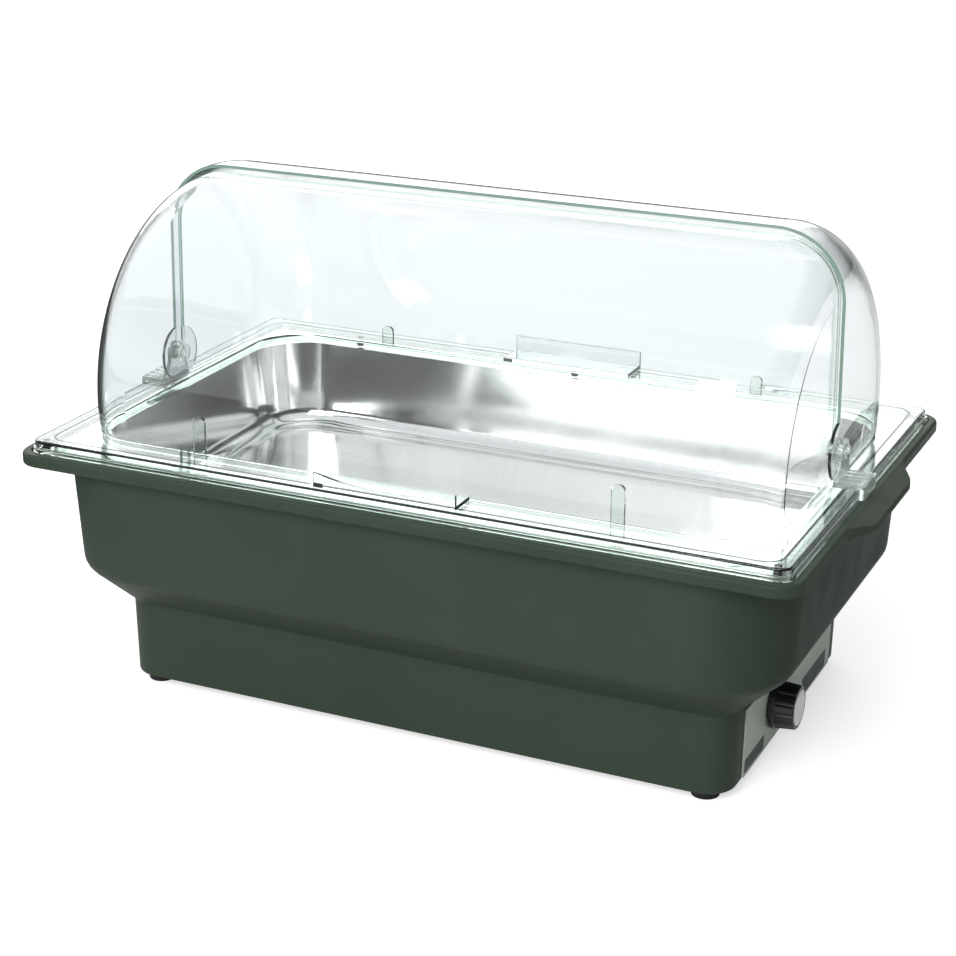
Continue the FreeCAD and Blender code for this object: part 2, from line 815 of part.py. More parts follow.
def cable_gland():
    """Strain-relief gland through the back wall: thread, hexagon, domed nut and open bore."""
    face = gland_outer_y()
    hexa = hexagon(gland_hex, gland_hex_length, V(gland_x, face + gland_lean(), gland_z), AXIS_Y)
    inner = face - body_wall - gland_thread_inside
    thread = rod(gland_thread_radius - gland_thread_play, V(gland_x, inner, gland_z),
                 V(gland_x, face + 1.0, gland_z))
    x1 = face + gland_hex_length
    section = [(x1, 0.0), (x1, gland_dome_radius), (x1 + gland_dome_length * 0.55, gland_dome_radius, 3.0),
               (x1 + gland_dome_length, gland_dome_radius * 0.62, 1.5), (x1 + gland_dome_length, 0.0)]
    dome = outline(section, lambda u, v: V(gland_x, u, gland_z + v))
    dome = dome.revolve(V(gland_x, 0, gland_z), AXIS_Y, 360)
    bore = rod(gland_bore_radius, V(gland_x, inner - 1.0, gland_z),
               V(gland_x, x1 + gland_dome_length + 1.0, gland_z))
    return hexa.fuse([thread, dome]).cut(bore).removeSplitter()


def gland_nut():
    face = gland_outer_y() - body_wall
    start = face - gland_nut_height - gland_lean()
    nut = hexagon(gland_hex, gland_nut_height, V(gland_x, start, gland_z), AXIS_Y)
    hole = rod(gland_thread_radius - nut_bite, V(gland_x, start - 1.0, gland_z),
               V(gland_x, face + 1.0, gland_z))
    return nut.cut(hole)


# Lid frame

def lid_frame():
    """Clear moulding: flat margin, stepped skirt, lip round the opening, rib that sits on the pan."""
    outside = [(0.0, frame_bottom), (0.0, frame_step_z, 0.6), (-frame_step, frame_step_z + 0.6, 0.5),
               (-frame_step, frame_top, 1.4), (-frame_corner + 0.5, frame_top)]
    under = [(-frame_sheet, frame_bottom - 1.0), (-frame_sheet, frame_step_z - frame_sheet / 2, 0.4),
             (-frame_step - frame_sheet, frame_step_z, 0.4),
             (-frame_step - frame_sheet, frame_top - frame_sheet),
             (-frame_corner + 0.5, frame_top - frame_sheet)]
    shell = lathe(outside, frame_x, frame_y, frame_corner).cut(lathe(under, frame_x, frame_y, frame_corner))
    lip_low = frame_top - frame_sheet - frame_lip_depth
    lip = slab(frame_opening_x + frame_sheet, frame_opening_y + frame_sheet,
               frame_opening_corner + frame_sheet, lip_low, frame_top - 0.5)
    rib_x = frame_x - frame_rib_inset
    rib_y = frame_y - frame_rib_inset
    rib = slab(rib_x, rib_y, frame_rib_corner, food_flange_top, frame_top - 0.5)
    hollow = slab(rib_x - frame_rib, rib_y - frame_rib, frame_rib_corner - frame_rib, food_flange_top,
                  frame_top)
    rib = rib.cut(hollow)
    opening = slab(frame_opening_x, frame_opening_y, frame_opening_corner, frame_bottom - 5.0,
                   frame_top + 1.0)
    return shell.fuse([lip, rib]).cut(opening).removeSplitter()


def guide_tabs():
    """Upright tabs with rounded tops: a tall pair inside the front cover, a low pair behind the rear one."""
    front_y = tab_wall_gap - front_foot_y
    rear_y = pivot_y + rear_radius + tab_wall_gap
    tabs = []
    for x in (-tab_x, tab_x):
        for near, height in ((front_y, front_tab_height), (rear_y, rear_tab_height)):
            corners = [(x - tab_width / 2, frame_top), (x + tab_width / 2, frame_top),
                       (x + tab_width / 2, frame_top + height, tab_width / 2 - 0.8),
                       (x - tab_width / 2, frame_top + height, tab_width / 2 - 0.8)]
            face = outline(corners, lambda u, v: V(u, near, v))
            tabs.append(face.extrude(V(0, tab_sheet, 0)))
    return tabs


def cushions():
    """Dark rubber buttons bonded under the frame's margin, clear of the rim below."""
    low = rim_top + cushion_clearance
    places = [(x, cushion_rear_y) for x in cushion_rear_x]
    places += [(side * cushion_front_x, -cushion_front_y) for side in (-1, 1)]
    high = frame_top - frame_sheet
    return [Part.makeCylinder(cushion_radius, high - low, V(x, y, low)) for x, y in places]


# Covers, drawn on the front side with the pivot axis through the origin

def cover_section(half_length, radius, corner, skin, thickness):
    """Half section of one cover along the pivot axis, between two depths under its outer face."""
    top = half_length - cover_end_draft
    deep = skin + thickness
    points = [(-half_length + skin, 0.0), (-top + skin, radius - skin, corner - skin),
              (top - skin, radius - skin, corner - skin), (half_length - skin, 0.0),
              (half_length - deep, 0.0), (top - deep, radius - deep, corner - deep),
              (-top + deep, radius - deep, corner - deep), (-half_length + deep, 0.0)]
    return outline(points, lambda u, v: V(u, 0, v))


def turned(face):
    """The section turned once round the pivot axis, starting at the back below the covers."""
    start = face.copy()
    start.rotate(V(0, 0, 0), AXIS_X, -135)
    return start.revolve(V(0, 0, 0), AXIS_X, 360)


def cover_foot():
    """Height of a cover's lower edge from the pivot axis."""
    return frame_top + cover_seat_gap - pivot_z


def cover_reach(half_length, radius, past_top):
    """Space that one cover fills: the front quarter, and a round heel behind and below the pivot.

    The heel is rounded so that the end walls clear the margin when the cover turns."""
    span = half_length + 5.0
    reach = radius + 5.0
    ahead = box(-span, span, -reach, 0.0, cover_foot(), reach)
    above = box(-span, span, -1.0, past_top, 0.0, reach)
    heel = Part.makeCylinder(-cover_foot(), 2 * span, V(-span, 0, 0), AXIS_X)
    return ahead.fuse([above, heel])


def seam_lip_band(half_length, radius, corner, past_top):
    """Lip that thickens the free edge inwards, from one end's hinge to the other's."""
    skin = cover_sheet / 2.0
    band = turned(cover_section(half_length, radius, corner, skin, skin + seam_lip))
    span = half_length + 5.0
    strip = box(-span, span, past_top - seam_lip_width, past_top, seam_lip_start, radius + 5.0)
    return band.common(strip)


def grip_tongue(radius, reach, height):
    """Pull at the foot of a cover: a tongue over the margin with an upright edge."""
    low = cover_foot()
    inner = -math.sqrt((radius - cover_sheet / 2.0) ** 2 - low ** 2)
    w = grip_half_width
    tongue = box(-w, w, -reach, inner, low, low + grip_sheet)
    upright = box(-w, w, -reach, -reach + grip_sheet, low, low + height)
    return tongue.fuse(upright)


def front_grip():
    """The front cover's pull, with its upright edge scooped out for the fingers."""
    reach = grip_outer_y + pivot_y
    rise = front_grip_end_height - front_grip_middle_height
    bow = (grip_half_width ** 2 + rise ** 2) / (2.0 * rise)
    centre = V(0, -reach - 2.0, cover_foot() + front_grip_middle_height + bow)
    scoop = Part.makeCylinder(bow, grip_sheet + 4.0, centre, AXIS_Y)
    return grip_tongue(front_radius, reach, front_grip_end_height).cut(scoop)


def rear_grip():
    return grip_tongue(rear_radius, grip_outer_y - pivot_y, rear_grip_height)


def cover(half_length, radius, corner, past_top, additions):
    """One cover with its pin holes and what is moulded on to it."""
    wall = turned(cover_section(half_length, radius, corner, 0.0, cover_sheet))
    wall = wall.common(cover_reach(half_length, radius, past_top))
    span = half_length + 10.0
    hole = Part.makeCylinder(pin_radius + pin_clearance, 2 * span, V(-span, 0, 0), AXIS_X)
    return wall.cut(hole).fuse(additions)


def front_cover():
    lip = seam_lip_band(front_half_length, front_radius, front_corner, front_edge_past_top)
    solid = cover(front_half_length, front_radius, front_corner, front_edge_past_top, [lip, front_grip()])
    solid.translate(V(0, pivot_y, pivot_z))
    return solid


def rear_cover():
    solid = cover(rear_half_length, rear_radius, rear_corner, rear_edge_past_top, [rear_grip()])
    solid.rotate(V(0, 0, 0), AXIS_Z, 180)
    solid.translate(V(0, pivot_y, pivot_z))
    return solid


# Hinges

def hinge_bracket():
    """Clip at the +X end: upright for the pin, ribbed strap over the margin, hook down its edge."""
    x0 = bracket_x
    x1 = x0 + bracket_sheet
    outer = frame_x + seat_play
    w = bracket_half_width
    r = bracket_top_radius
    z0 = frame_top
    strap_top = z0 + bracket_sheet
    neck = pivot_z - r / 2
    shape = [(-w, z0), (w, z0), (w, strap_top, 1.0), (r, neck, 3.0),
             (r, pivot_z + r, r - 0.2), (-r, pivot_z + r, r - 0.2), (-r, neck, 3.0), (-w, strap_top, 1.0)]
    upright = outline(shape, lambda u, v: V(x0, u, v)).extrude(V(bracket_sheet, 0, 0))
    strap = box(x0, outer + bracket_sheet, -w, w, z0, strap_top)
    hook = box(outer, outer + bracket_sheet, -w, w, z0 - bracket_hook, z0 + 1.0)
    ribs = []
    for i in range(bracket_ribs):
        y = (i - (bracket_ribs - 1) / 2.0) * bracket_rib_pitch
        ribs.append(box(x1, outer + bracket_sheet - 1.0, y - 1.0, y + 1.0, strap_top - 0.5,
                        strap_top + bracket_rib))
    solid = upright.fuse([strap, hook] + ribs)
    hole = rod(pin_radius + seat_bite, V(x0 - 2.0, 0, pivot_z), V(x1 + 2.0, 0, pivot_z))
    solid = solid.cut(hole).removeSplitter()
    solid.translate(V(0, pivot_y, 0))
    return solid


def pin_inner_end():
    return front_half_length - cover_sheet - hinge_play - retainer_sheet


def pivot_pin():
    """Headed pin through the bracket and both covers."""
    outer = bracket_x + bracket_sheet
    end = outer + pin_head
    shank = rod(pin_radius, V(pin_inner_end(), pivot_y, pivot_z), V(outer + 0.5, pivot_y, pivot_z))
    head = rod(pin_head_radius, V(outer, pivot_y, pivot_z), V(end, pivot_y, pivot_z))
    slot = box(end - 1.0, end + 1.0, pivot_y - pin_head_radius, pivot_y + pin_head_radius,
               pivot_z - 0.6, pivot_z + 0.6)
    return shank.fuse(head).cut(slot).removeSplitter()


def pivot_retainer():
    """Push-on ring on the inner end of the pin."""
    inner = pin_inner_end()
    ring = rod(retainer_radius, V(inner, pivot_y, pivot_z), V(inner + retainer_sheet, pivot_y, pivot_z))
    hole = rod(pin_radius + seat_bite, V(inner - 1.0, pivot_y, pivot_z),
               V(inner + retainer_sheet + 1.0, pivot_y, pivot_z))
    return ring.cut(hole)


def save(name, solids):
    shapes = solids if isinstance(solids, list) else [solids]
    pieces = []
    for shape in shapes:
        pieces += shape.Solids
    whole = pieces[0] if len(pieces) == 1 else Part.makeCompound(pieces)
    whole.exportStep(os.path.join("parts", name + ".step"))
    volume = sum(piece.Volume for piece in pieces) / 1000.0
    print(name, len(pieces), round(volume, 2), all(piece.isValid() for piece in pieces))


def main():
    os.makedirs("parts", exist_ok=True)
    save("body_shell", body_shell())
    save("bottom_plate", bottom_plate())
    save("feet", [foot(x, y) for x, y in four_ways(foot_x, foot_y)])
    save("foot_screws", [foot_screw(x, y) for x, y in four_ways(foot_x, foot_y)])
    save("water_bath", water_bath())
    save("food_pan", food_pan())
    save("heating_element", heating_element())
    save("heater_clamps", heater_clamps())
    save("heater_studs", heater_studs())
    save("heat_shield", heat_shield())
    save("shield_posts", shield_posts())
    save("control_plate", control_plate())
    save("thermostat", thermostat())
    save("thermostat_nut", bushing_nut())
    save("thermostat_bulb", sensing_bulb())
    save("thermal_cutout", thermal_cutout())
    save("terminal_block", terminal_block())
    save("cable_gland", cable_gland())
    save("gland_nut", gland_nut())
    save("knob_shaft", knob_shaft())
    save("knob", knob())
    save("knob_cap", knob_cap_disc())
    save("lid_frame", lid_frame())
    save("guide_tabs", guide_tabs())
    save("lid_cushions", cushions())
    save("front_cover", front_cover())
    save("rear_cover", rear_cover())
    save("hinge_bracket_right", hinge_bracket())
    save("hinge_bracket_left", mirrored_x(hinge_bracket()))
    save("pivot_pins", [pivot_pin(), mirrored_x(pivot_pin())])
    save("pivot_retainers", [pivot_retainer(), mirrored_x(pivot_retainer())])


main()
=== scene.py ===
import math

import bmesh
import bpy
from mathutils import Matrix, Vector


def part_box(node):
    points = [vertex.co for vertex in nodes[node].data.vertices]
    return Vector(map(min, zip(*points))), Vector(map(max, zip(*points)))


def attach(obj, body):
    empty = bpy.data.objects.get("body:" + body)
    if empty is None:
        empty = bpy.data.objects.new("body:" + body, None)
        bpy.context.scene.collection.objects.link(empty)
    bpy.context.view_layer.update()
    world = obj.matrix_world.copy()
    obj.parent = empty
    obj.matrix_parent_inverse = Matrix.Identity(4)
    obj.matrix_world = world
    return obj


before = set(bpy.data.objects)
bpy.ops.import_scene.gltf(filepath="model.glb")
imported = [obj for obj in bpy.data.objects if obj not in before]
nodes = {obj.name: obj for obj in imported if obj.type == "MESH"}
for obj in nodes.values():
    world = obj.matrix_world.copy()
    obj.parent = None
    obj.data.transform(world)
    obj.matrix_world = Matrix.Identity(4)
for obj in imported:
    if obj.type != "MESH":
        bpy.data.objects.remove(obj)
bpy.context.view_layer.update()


# Node trees

class Graph:
    """A node tree with short calls for the nodes that the materials and the world share."""

    def __init__(self, owner):
        owner.use_nodes = True
        self.tree = owner.node_tree
        self.tree.nodes.clear()

    def node(self, kind, **settings):
        made = self.tree.nodes.new(kind)
        for key, value in settings.items():
            setattr(made, key, value)
        return made

    def feed(self, value, socket):
        """Link an output to a socket, or set the socket to a plain value."""
        if isinstance(value, bpy.types.NodeSocket):
            self.tree.links.new(value, socket)
        else:
            socket.default_value = value

    def axes(self, place):
        """X, Y and Z of a place."""
        made = self.node("ShaderNodeSeparateXYZ")
        self.feed(place, made.inputs[0])
        return made.outputs["X"], made.outputs["Y"], made.outputs["Z"]

    def calc(self, operation, *values, clamp=False):
        made = self.node("ShaderNodeMath", operation=operation, use_clamp=clamp)
        for value, socket in zip(values, made.inputs):
            self.feed(value, socket)
        return made.outputs[0]

    def remap(self, value, start, end, low, high, kind="LINEAR"):
        """low at start and below, high at end and above, and a ramp between."""
        made = self.node("ShaderNodeMapRange", interpolation_type=kind)
        self.feed(start, made.inputs["From Min"])
        self.feed(end, made.inputs["From Max"])
        self.feed(low, made.inputs["To Min"])
        self.feed(high, made.inputs["To Max"])
        self.feed(value, made.inputs["Value"])
        return made.outputs["Result"]

    def mix_colours(self, share, first, second):
        made = self.node("ShaderNodeMix", data_type="RGBA")
        for value, index in ((share, 0), (first, 6), (second, 7)):
            self.feed(value, made.inputs[index])
        return made.outputs[2]

    def mix_shaders(self, share, first, second):
        made = self.node("ShaderNodeMixShader")
        for value, socket in zip((share, first, second), made.inputs):
            self.feed(value, socket)
        return made.outputs[0]


class Recipe(Graph):
    """A material with one Principled shader, patterned in the object's own coordinates."""

    def __init__(self, name):
        self.material = bpy.data.materials.new(name)
        super().__init__(self.material)
        self.out = self.node("ShaderNodeOutputMaterial")
        self.shader = self.node("ShaderNodeBsdfPrincipled")
        self.feed(self.shader.outputs[0], self.out.inputs["Surface"])
        self.place = self.node("ShaderNodeTexCoord").outputs["Object"]

    def set(self, **values):
        for key, value in values.items():
            self.shader.inputs[key.replace("_", " ")].default_value = value

    def noise(self, scale, detail=3.0, rough=0.5, stretch=None):
        source = self.place
        if stretch:
            mapping = self.node("ShaderNodeMapping")
            mapping.inputs["Scale"].default_value = stretch
            self.feed(source, mapping.inputs["Vector"])
            source = mapping.outputs[0]
        made = self.node("ShaderNodeTexNoise")
        made.inputs["Scale"].default_value = scale
        made.inputs["Detail"].default_value = detail
        made.inputs["Roughness"].default_value = rough
        self.feed(source, made.inputs["Vector"])
        return made.outputs["Fac"]

    def ramp(self, source, stops):
        made = self.node("ShaderNodeValToRGB")
        while len(made.color_ramp.elements) < len(stops):
            made.color_ramp.elements.new(0.5)
        for element, (at, colour) in zip(made.color_ramp.elements, stops):
            element.position = at
            element.color = (*colour, 1.0)
        self.feed(source, made.inputs["Fac"])
        return made.outputs["Color"]

    def bump(self, source, strength, distance):
        made = self.node("ShaderNodeBump")
        made.inputs["Strength"].default_value = strength
        made.inputs["Distance"].default_value = distance
        self.feed(source, made.inputs["Height"])
        return made.outputs["Normal"]

    def finish_with(self, colour, roughness, normal):
        self.feed(colour, self.shader.inputs["Base Color"])
        self.feed(roughness, self.shader.inputs["Roughness"])
        self.feed(normal, self.shader.inputs["Normal"])
        return self.material


# Materials

def grained_plastic(name, dark, light, grain, gloss, grain_depth=0.00012, specular=0.35):
    """Moulded plastic: slow cloudy colour, fine grain in the bump, uneven gloss."""
    r = Recipe(name)
    r.set(Specular_IOR_Level=specular)
    cloud = r.noise(scale=9.0, detail=4.0, rough=0.6)
    colour = r.ramp(cloud, [(0.3, dark), (0.7, light)])
    fine = r.noise(scale=grain, detail=2.0, rough=0.6)
    rough = r.remap(r.noise(scale=30.0), 0.3, 0.7, *gloss)
    return r.finish_with(colour, rough, r.bump(fine, strength=0.35, distance=grain_depth))


def brushed_metal(name, dark, light, stretch, gloss, grain_strength=0.12):
    """Metal with drawn grain along one axis and uneven polish."""
    r = Recipe(name)
    r.set(Metallic=1.0)
    lines = r.noise(scale=420.0, detail=3.0, rough=0.6, stretch=stretch)
    colour = r.ramp(lines, [(0.25, dark), (0.75, light)])
    rough = r.remap(r.noise(scale=14.0, detail=3.0, rough=0.6), 0.3, 0.7, *gloss)
    return r.finish_with(colour, rough, r.bump(lines, grain_strength, distance=0.00004))


# The covers' shape, in metres, for the masks below.
hinge_z = 0.210
end_x = 0.214
corner_run_x = 0.02
wall_radius = 0.10
corner_run_radius = 0.015
sawn_reach = 0.00025


def sawn_mask(r, cut_y):
    """1 on the sawn edge of a cover, in the plane y = cut_y above the hinge, and 0 elsewhere."""
    x, y, z = r.axes(r.place)
    away = r.calc("ABSOLUTE", r.calc("SUBTRACT", y, cut_y))
    near = r.calc("LESS_THAN", away, sawn_reach)
    above = r.calc("GREATER_THAN", z, hinge_z)
    return r.calc("MULTIPLY", near, above)


def corner_shade_mask(r):
    """1 in a cover's rounded corners, where its wall turns from shell to end, and 0 elsewhere. It
    places the painted shade in those corners.
    """
    x, y, z = r.axes(r.place)
    across = r.node("ShaderNodeCombineXYZ")
    r.feed(y, across.inputs["Y"])
    r.feed(r.calc("SUBTRACT", z, hinge_z), across.inputs["Z"])
    radius = r.node("ShaderNodeVectorMath", operation="LENGTH")
    r.feed(across.outputs[0], radius.inputs[0])
    at_end = r.remap(r.calc("ABSOLUTE", x), end_x, end_x + corner_run_x, 0.0, 1.0)
    at_wall = r.remap(radius.outputs["Value"], wall_radius, wall_radius + corner_run_radius,
                      0.0, 1.0)
    return r.calc("MULTIPLY", at_end, at_wall)


def clear_plastic(name, face_tint, edge_tint, haze, lamp_share, density, cut_y=None,
                  clearness=1.0):
    """Clear moulding: darker and greener where it is seen edge-on or deep.

    It lets the lamps' light through to what is behind. cut_y gives the plane of a cover's
    sawn edge, which is frosted and grey green. A cover's rounded corners get painted shade,
    pushed toward the dark edge tint."""
    r = Recipe(name)
    r.set(Transmission_Weight=clearness, IOR=1.46, Specular_IOR_Level=0.5)
    angle = r.node("ShaderNodeLayerWeight")
    angle.inputs["Blend"].default_value = 0.5
    facing = angle.outputs["Facing"]
    if cut_y is not None:
        # Painted shade: the rounded corners are pushed toward the dark edge tint.
        corner_painted_shade = 0.2
        facing = r.calc("MULTIPLY_ADD", corner_shade_mask(r), corner_painted_shade, facing)
    middle = tuple(0.6 * face + 0.4 * edge for face, edge in zip(face_tint, edge_tint))
    colour = r.ramp(facing, [(0.0, face_tint), (0.78, face_tint), (0.88, middle),
                             (0.95, edge_tint)])
    flow = r.noise(scale=6.0, detail=2.0, rough=0.5, stretch=(0.6, 1.0, 1.0))
    rough = r.remap(r.noise(scale=25.0, detail=2.0), 0.35, 0.65, 0.0, haze)
    if cut_y is not None:
        frost = (0.30, 0.43, 0.36, 1.0)
        frost_clearness = 0.15
        sawn = sawn_mask(r, cut_y)
        colour = r.mix_colours(sawn, colour, frost)
        clear = r.remap(sawn, 0.0, 1.0, clearness, frost_clearness)
        r.feed(clear, r.shader.inputs["Transmission Weight"])
    material = r.finish_with(colour, rough, r.bump(flow, strength=0.01, distance=0.0008))
    depth = r.node("ShaderNodeVolumeAbsorption")
    depth.inputs["Color"].default_value = (0.55, 0.92, 0.74, 1.0)
    depth.inputs["Density"].default_value = density
    r.feed(depth.outputs[0], r.out.inputs["Volume"])
    passed = r.node("ShaderNodeBsdfTransparent")
    passed.inputs["Color"].default_value = (lamp_share, lamp_share, lamp_share, 1.0)
    shadow = r.node("ShaderNodeLightPath").outputs["Is Shadow Ray"]
    mixed = r.mix_shaders(shadow, r.shader.outputs[0], passed.outputs[0])
    r.feed(mixed, r.out.inputs["Surface"])
    return material


body_plastic = grained_plastic(
    "body_plastic", dark=(0.036, 0.053, 0.037), light=(0.044, 0.063, 0.045),
    grain=900.0, gloss=(0.42, 0.55), specular=0.16)
rubber = grained_plastic(
    "foot_rubber", dark=(0.012, 0.012, 0.012), light=(0.02, 0.02, 0.02),
    grain=700.0, gloss=(0.6, 0.8))
black_plastic = grained_plastic(
    "housing_plastic", dark=(0.02, 0.02, 0.021), light=(0.032, 0.032, 0.034),
    grain=800.0, gloss=(0.4, 0.55))
gland_plastic = grained_plastic(
    "gland_plastic", dark=(0.015, 0.015, 0.015), light=(0.024, 0.024, 0.024),
    grain=800.0, gloss=(0.4, 0.5))
terminal_plastic = grained_plastic(
    "terminal_plastic", dark=(0.70, 0.70, 0.66), light=(0.80, 0.80, 0.76),
    grain=600.0, gloss=(0.45, 0.6))
base_sheet = grained_plastic(
    "base_sheet", dark=(0.085, 0.09, 0.086), light=(0.11, 0.115, 0.11),
    grain=500.0, gloss=(0.4, 0.55))
knob_plastic = grained_plastic(
    "knob_plastic", dark=(0.010, 0.011, 0.011), light=(0.016, 0.017, 0.017),
    grain=900.0, gloss=(0.18, 0.3), grain_depth=0.00004, specular=0.5)
plate = grained_plastic(
    "plate_finish", dark=(0.50, 0.56, 0.50), light=(0.58, 0.64, 0.58),
    grain=700.0, gloss=(0.35, 0.5), grain_depth=0.00003)
field_print = grained_plastic(
    "plate_print", dark=(0.030, 0.047, 0.036), light=(0.040, 0.060, 0.047),
    grain=800.0, gloss=(0.4, 0.5), grain_depth=0.00002)

pan_steel = brushed_metal(
    "pan_steel", dark=(0.90, 0.90, 0.885), light=(0.95, 0.95, 0.935),
    stretch=(1.0, 0.06, 0.06), gloss=(0.08, 0.14), grain_strength=0.03)
bath_steel = brushed_metal(
    "bath_steel", dark=(0.55, 0.55, 0.54), light=(0.66, 0.66, 0.65),
    stretch=(1.0, 0.06, 0.06), gloss=(0.24, 0.36))
screw_steel = brushed_metal(
    "screw_steel", dark=(0.50, 0.50, 0.50), light=(0.64, 0.64, 0.63),
    stretch=(1.0, 1.0, 1.0), gloss=(0.25, 0.4))
sheath = brushed_metal(
    "element_sheath", dark=(0.16, 0.15, 0.13), light=(0.27, 0.25, 0.22),
    stretch=(1.0, 1.0, 1.0), gloss=(0.45, 0.6))
aluminium = brushed_metal(
    "shield_aluminium", dark=(0.66, 0.66, 0.67), light=(0.80, 0.80, 0.81),
    stretch=(1.0, 0.08, 0.08), gloss=(0.25, 0.4))
bulb_metal = brushed_metal(
    "bulb_metal", dark=(0.62, 0.36, 0.22), light=(0.76, 0.48, 0.32),
    stretch=(0.1, 1.0, 1.0), gloss=(0.25, 0.4))
cap_metal = brushed_metal(
    "cap_metal", dark=(0.84, 0.84, 0.83), light=(0.94, 0.94, 0.93),
    stretch=(1.0, 1.0, 0.05), gloss=(0.3, 0.42))

cover_look = dict(face_tint=(0.905, 0.925, 0.94), edge_tint=(0.02, 0.04, 0.03),
                  haze=0.01, lamp_share=0.95, density=5.0)
clear_front = clear_plastic("clear_lid_front", cut_y=-0.004, **cover_look)
clear_rear = clear_plastic("clear_lid_rear", cut_y=-0.009, **cover_look)
clear_frame = clear_plastic(
    "clear_frame", face_tint=(0.88, 0.93, 0.90), edge_tint=(0.16, 0.26, 0.21),
    haze=0.02, lamp_share=0.94, density=14.0)
clear_pin = clear_plastic(
    "clear_pin", face_tint=(0.93, 0.965, 0.945), edge_tint=(0.5, 0.62, 0.56),
    haze=0.06, lamp_share=0.9, density=6.0, clearness=0.88)

finishes = {
    "body_shell": body_plastic, "bottom_plate": base_sheet, "feet": rubber,
    "foot_screws": screw_steel, "water_bath": bath_steel, "food_pan": pan_steel,
    "heating_element": sheath, "heater_clamps": bath_steel, "heater_studs": screw_steel,
    "heat_shield": aluminium, "shield_posts": screw_steel, "control_plate": plate,
    "thermostat": black_plastic, "thermostat_nut": screw_steel, "thermostat_bulb": bulb_metal,
    "thermal_cutout": black_plastic, "terminal_block": terminal_plastic,
    "cable_gland": gland_plastic, "gland_nut": gland_plastic, "knob_shaft": screw_steel,
    "knob": knob_plastic, "knob_cap": cap_metal, "lid_frame": clear_frame,
    "guide_tabs": clear_frame, "lid_cushions": rubber, "front_cover": clear_front,
    "rear_cover": clear_rear, "hinge_bracket_right": clear_pin,
    "hinge_bracket_left": clear_pin, "pivot_pins": clear_pin, "pivot_retainers": clear_pin,
}
for name, material in finishes.items():
    slots = nodes[name].data.materials
    if len(slots) == 0:
        slots.append(material)
    for index in range(len(slots)):
        slots[index] = material


# Printed fields on the control plate, whose face leans in by 1 in 57.5

plate_low, plate_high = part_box("control_plate")
plate_slope = 1.0 / 57.5
field_corner = 0.0012
corner_steps = 5
# Inset from the outline and height over the plate, from the field's foot to its face.
field_profile = ((0.0, 0.00002), (0.0, 0.00010), (0.00012, 0.00016))


def plate_x(z):
    """Outer face of the control plate at one height."""
    return plate_high[0] - (plate_high[2] - z) * plate_slope


def rounded_outline(low, high):
    """Points in y and z round a rectangle with rounded corners."""
    near_y, far_y = low[0] + field_corner, high[0] - field_corner
    near_z, far_z = low[1] + field_corner, high[1] - field_corner
    points = []
    for y, z, start in ((far_y, far_z, 0), (near_y, far_z, 90),
                        (near_y, near_z, 180), (far_y, near_z, 270)):
        for i in range(corner_steps + 1):
            turn = math.radians(start + 90.0 * i / corner_steps)
            points.append((y + field_corner * math.cos(turn), z + field_corner * math.sin(turn)))
    return points


def rounded_field(name, low, high):
    """Thin printed field with rounded corners and a softened rim."""
    mesh = bmesh.new()
    outline = rounded_outline(low, high)
    middle_y = (low[0] + high[0]) / 2
    middle_z = (low[1] + high[1]) / 2
    rims = []
    for inset, proud in field_profile:
        rim = []
        for y, z in outline:
            share = 1.0 - inset / math.hypot(y - middle_y, z - middle_z)
            inner_y = middle_y + (y - middle_y) * share
            inner_z = middle_z + (z - middle_z) * share
            rim.append(mesh.verts.new((plate_x(inner_z) + proud, inner_y, inner_z)))
        rims.append(rim)
    count = len(outline)
    for lower, upper in zip(rims, rims[1:]):
        for i in range(count):
            k = (i + 1) % count
            mesh.faces.new((lower[i], lower[k], upper[k], upper[i]))
    mesh.faces.new(rims[-1])
    mesh.faces.new(list(reversed(rims[0])))
    bmesh.ops.recalc_face_normals(mesh, faces=mesh.faces)
    data = bpy.data.meshes.new(name)
    mesh.to_mesh(data)
    mesh.free()
    made = bpy.data.objects.new(name, data)
    bpy.context.scene.collection.objects.link(made)
    data.materials.append(field_print)
    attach(made, "base")


rounded_field("plate_field_front",
              low=(-0.0975, 0.0100), high=(-0.0560, 0.0200))
rounded_field("plate_field_rear",
              low=(0.0310, 0.0095), high=(0.0880, 0.0230))


# Stage

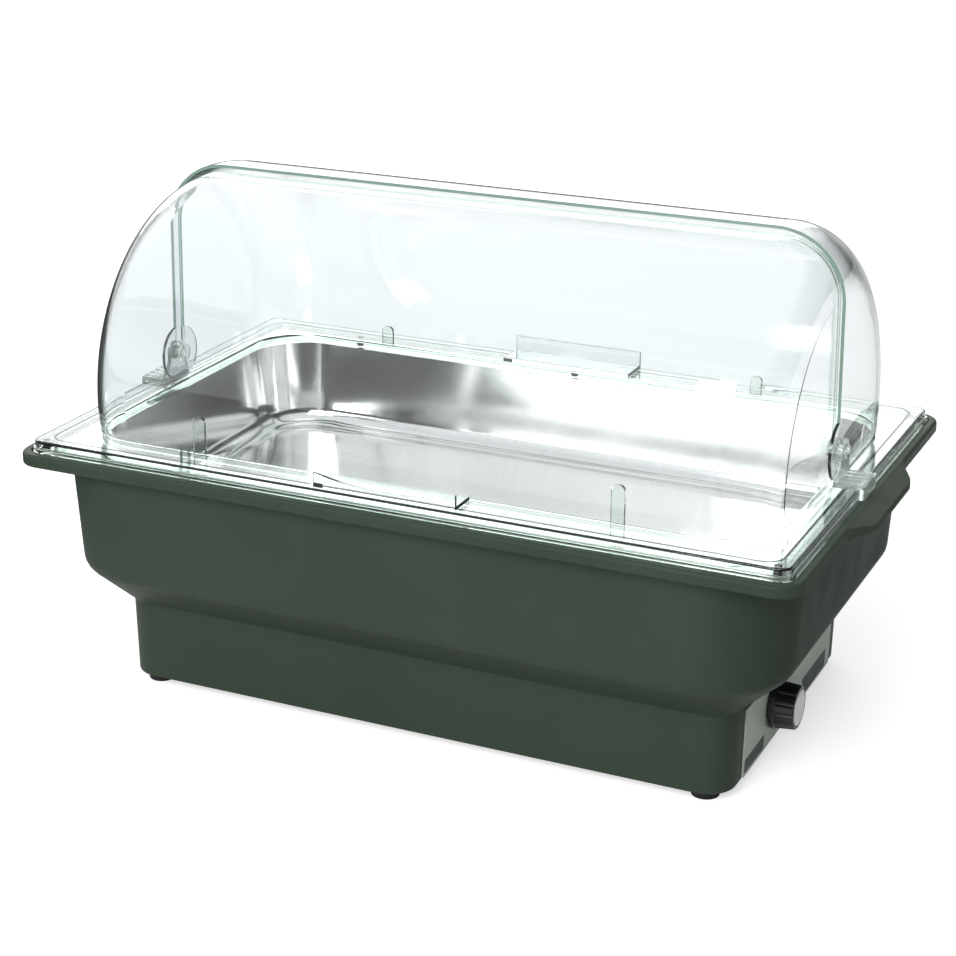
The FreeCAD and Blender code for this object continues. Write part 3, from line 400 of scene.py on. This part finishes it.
def stage_floor():
    """Pale floor that reads white to the camera and keeps the object's shadow.

    What shines sees two dark cards on it, to the left of the object and close on its right."""
    mesh = bpy.data.meshes.new("floor")
    half = 6.0
    corners = [(-half, -half, 0), (half, -half, 0), (half, half, 0), (-half, half, 0)]
    mesh.from_pydata(corners, [], [(0, 1, 2, 3)])
    floor = bpy.data.objects.new("floor", mesh)
    bpy.context.scene.collection.objects.link(floor)
    r = Recipe("floor")
    r.set(Roughness=0.9, Specular_IOR_Level=0.1)
    pale = r.ramp(r.noise(scale=3.0), [(0.3, (0.80, 0.80, 0.80)), (0.7, (0.83, 0.83, 0.83))])
    rays = r.node("ShaderNodeLightPath").outputs

    x, y, z = r.axes(r.place)
    left_card = r.remap(x, -0.52, -0.36, 1.0, 0.0)
    right_card = r.remap(x, 0.28, 0.36, 0.0, 1.0)
    for far_side in (r.remap(x, 0.50, 0.60, 1.0, 0.0), r.remap(y, 0.40, 0.55, 1.0, 0.0)):
        right_card = r.calc("MULTIPLY", right_card, far_side)
    cards = r.calc("ADD", left_card, right_card)
    shone = r.calc("MULTIPLY", cards, rays["Glossy Depth"], clamp=True)
    card_black = (0.08, 0.08, 0.08, 1.0)
    r.feed(r.mix_colours(shone, pale, card_black), r.shader.inputs["Base Color"])

    clear_share = 0.8
    floor_glow = 0.61
    looked = r.calc("MULTIPLY_ADD", rays["Is Transmission Ray"], clear_share,
                    rays["Is Camera Ray"])
    unshone = r.calc("SUBTRACT", looked, rays["Glossy Depth"], clamp=True)
    glow = r.node("ShaderNodeEmission")
    r.feed(r.calc("MULTIPLY", unshone, floor_glow), glow.inputs["Strength"])
    both = r.node("ShaderNodeAddShader")
    r.feed(r.shader.outputs[0], both.inputs[0])
    r.feed(glow.outputs[0], both.inputs[1])
    r.feed(both.outputs[0], r.out.inputs["Surface"])
    mesh.materials.append(r.material)


def world_light():
    """Even studio light, white where the camera and clear plastic look past the object.

    What shines sees the same white, with a soft dark side to the right, like a black card."""
    world = bpy.data.worlds.new("studio")
    bpy.context.scene.world = world
    g = Graph(world)

    def background(colour, strength):
        made = g.node("ShaderNodeBackground")
        made.inputs["Color"].default_value = (*colour, 1.0)
        g.feed(strength, made.inputs["Strength"])
        return made.outputs[0]

    white = (1.0, 1.0, 1.0)
    rays = g.node("ShaderNodeLightPath").outputs
    x, y, z = g.axes(g.node("ShaderNodeTexCoord").outputs["Generated"])
    lit = background((0.96, 1.0, 0.97), g.remap(x, 0.0, 0.7, 0.62, 0.16, kind="SMOOTHSTEP"))
    seen = background(white, 1.0)
    card = g.remap(x, -0.04, 0.26, 1.0, 0.05, kind="SMOOTHSTEP")
    over_card = g.remap(z, 0.4, 0.65, 0.0, 1.0, kind="SMOOTHSTEP")
    shone = background(white, g.calc("MAXIMUM", card, over_card))
    looked = g.calc("MAXIMUM", rays["Is Camera Ray"], rays["Is Transmission Ray"])
    shine = g.calc("MINIMUM", rays["Glossy Depth"], 1.0)
    out = g.node("ShaderNodeOutputWorld")
    g.feed(g.mix_shaders(shine, g.mix_shaders(looked, lit, seen), shone), out.inputs["Surface"])


def lamp(name, place, size, energy):
    """Soft rectangular lamp that points at the middle of the object."""
    data = bpy.data.lights.new(name, "AREA")
    data.shape = "RECTANGLE"
    data.size, data.size_y = size
    data.energy = energy
    made = bpy.data.objects.new(name, data)
    made.location = place
    toward = Vector((0, 0, 0.15)) - Vector(place)
    made.rotation_euler = toward.to_track_quat("-Z", "Y").to_euler()
    bpy.context.scene.collection.objects.link(made)


def camera():
    """Camera fitted to the rim, the frame and the base in the photo."""
    place = Vector((0.6046, -1.3434, 0.6973))
    azimuth = math.radians(24.551)
    elevation = math.radians(20.445)
    roll = math.radians(0.284)
    away = Vector((math.sin(azimuth) * math.cos(elevation),
                   -math.cos(azimuth) * math.cos(elevation), math.sin(elevation)))
    right = Vector((math.cos(azimuth), math.sin(azimuth), 0.0))
    up = away.cross(right)
    turned_right = right * math.cos(roll) + up * math.sin(roll)
    turned_up = up * math.cos(roll) - right * math.sin(roll)
    data = bpy.data.cameras.new("camera")
    data.lens = 83.115
    data.sensor_width = 36.0
    data.sensor_fit = "HORIZONTAL"
    data.clip_end = 50.0
    made = bpy.data.objects.new("camera", data)
    turn = Matrix((turned_right, turned_up, away)).transposed().to_4x4()
    made.matrix_world = Matrix.Translation(place) @ turn
    bpy.context.scene.collection.objects.link(made)
    bpy.context.scene.camera = made


bpy.context.scene.view_settings.view_transform = "Standard"
camera()
stage_floor()
world_light()
lamp("key", place=(0.1, -2.2, 1.6), size=(1.4, 1.3), energy=39.0)
lamp("back", place=(-1.3, 2.2, 1.0), size=(2.7, 1.2), energy=18.0)
